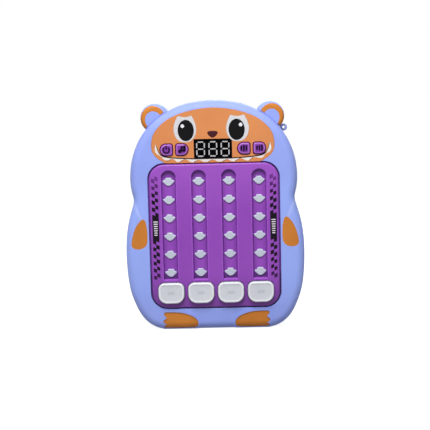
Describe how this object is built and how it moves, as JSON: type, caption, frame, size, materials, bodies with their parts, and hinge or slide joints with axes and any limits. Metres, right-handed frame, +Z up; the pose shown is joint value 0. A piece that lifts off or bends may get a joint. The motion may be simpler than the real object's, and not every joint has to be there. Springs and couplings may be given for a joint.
{
  "type": "handheld electronic game",
  "caption": "Bear-shaped handheld rhythm game: silicone cover over a plastic case, lamp columns, play buttons, small keys and a three-digit display.",
  "frame": {"origin": "middle of the bounding box at the flat bottom edge that the game stands on", "axes": "+Z up towards the ears, -Y towards the player's side with the display and buttons, +X to the right as seen by the player"},
  "size_m": [0.126, 0.035, 0.1614],
  "materials": {
    "periwinkle_silicone": "matte silicone",
    "orange_silicone": "matte silicone",
    "white_silicone": "matte silicone",
    "black_silicone": "satin silicone",
    "brown_silicone": "satin silicone",
    "purple_plastic": "fine satin",
    "violet_blue_plastic": "satin",
    "white_plastic": "gloss",
    "frosted_lens": "milky, satin",
    "black_plastic": "satin",
    "translucent_rubber": "matte",
    "board_green": "solder mask",
    "steel": "zinc plated",
    "nickel": "nickel plated",
    "cell_jacket": "printed film",
    "paper_cone": "matte",
    "red_lead": "satin",
    "black_lead": "satin"
  },
  "bodies": {
    "game": {"battery_1": "cell_jacket", "battery_2": "cell_jacket", "battery_3": "cell_jacket", "battery_lead_black": "black_lead", "battery_lead_red": "red_lead", "button_dome_1": "translucent_rubber", "button_dome_2": "translucent_rubber", "button_dome_3": "translucent_rubber", "button_dome_4": "translucent_rubber", "case_screw_1": "steel", "case_screw_2": "steel", "case_screw_3": "steel", "case_screw_4": "steel", "case_screw_5": "steel", "case_screw_6": "steel", "contact_link_lower": "nickel", "contact_link_upper": "nickel", "contact_negative": "nickel", "contact_positive": "nickel", "display_module": "black_plastic", "face_inlay": "orange_silicone", "front_shell": "purple_plastic", "left_ear_inlay": "orange_silicone", "left_eye_pupil": "black_silicone", "left_eye_white": "white_silicone", "left_foot_inlay": "orange_silicone", "left_hand_inlay": "orange_silicone", "lens_strip_1": "frosted_lens", "lens_strip_2": "frosted_lens", "lens_strip_3": "frosted_lens", "lens_strip_4": "frosted_lens", "main_board": "board_green", "nose_inlay": "brown_silicone", "rear_shell": "violet_blue_plastic", "right_ear_inlay": "orange_silicone", "right_eye_pupil": "black_silicone", "right_eye_white": "white_silicone", "right_foot_inlay": "orange_silicone", "right_hand_inlay": "orange_silicone", "silicone_cover": "periwinkle_silicone", "speaker_cone": "paper_cone", "speaker_frame": "black_plastic", "speaker_lead_black": "black_lead", "speaker_lead_red": "red_lead", "speaker_magnet": "steel", "teeth_inlay": "white_silicone"},
    "play_button_1": {"play_button_1": "white_plastic"},
    "play_button_2": {"play_button_2": "white_plastic"},
    "play_button_3": {"play_button_3": "white_plastic"},
    "play_button_4": {"play_button_4": "white_plastic"},
    "power_key": {"power_button": "purple_plastic", "power_plunger": "black_plastic"},
    "music_key": {"music_button": "purple_plastic", "music_plunger": "black_plastic"},
    "volume_key": {"volume_button": "purple_plastic", "volume_plunger": "black_plastic"},
    "tempo_key": {"tempo_button": "purple_plastic", "tempo_plunger": "black_plastic"},
    "door": {"battery_door": "violet_blue_plastic", "door_screw": "steel"}
  },
  "joints": [
    {"name": "play_button_1_press", "type": "slide", "parent": "game", "child": "play_button_1", "axis": [0, 1, 0], "range_m": [0, 0.002], "stiffness_N_per_m": 350, "springref_m": -0.0008, "deforming": ["button_dome_1"]},
    {"name": "play_button_2_press", "type": "slide", "parent": "game", "child": "play_button_2", "axis": [0, 1, 0], "range_m": [0, 0.002], "stiffness_N_per_m": 350, "springref_m": -0.0008, "deforming": ["button_dome_2"]},
    {"name": "play_button_3_press", "type": "slide", "parent": "game", "child": "play_button_3", "axis": [0, 1, 0], "range_m": [0, 0.002], "stiffness_N_per_m": 350, "springref_m": -0.0008, "deforming": ["button_dome_3"]},
    {"name": "play_button_4_press", "type": "slide", "parent": "game", "child": "play_button_4", "axis": [0, 1, 0], "range_m": [0, 0.002], "stiffness_N_per_m": 350, "springref_m": -0.0008, "deforming": ["button_dome_4"]},
    {"name": "power_key_press", "type": "slide", "parent": "game", "child": "power_key", "axis": [0, 1, 0], "range_m": [0, 0.0008], "stiffness_N_per_m": 900, "springref_m": -0.0003},
    {"name": "music_key_press", "type": "slide", "parent": "game", "child": "music_key", "axis": [0, 1, 0], "range_m": [0, 0.0008], "stiffness_N_per_m": 900, "springref_m": -0.0003},
    {"name": "volume_key_press", "type": "slide", "parent": "game", "child": "volume_key", "axis": [0, 1, 0], "range_m": [0, 0.0008], "stiffness_N_per_m": 900, "springref_m": -0.0003},
    {"name": "tempo_key_press", "type": "slide", "parent": "game", "child": "tempo_key", "axis": [0, 1, 0], "range_m": [0, 0.0008], "stiffness_N_per_m": 900, "springref_m": -0.0003},
    {"name": "battery_door_hinge", "type": "hinge", "parent": "game", "child": "door", "pos_m": [0, 0.0169, 0.0417], "axis": [-1, 0, 0], "range_deg": [0, 60]}
  ]
}
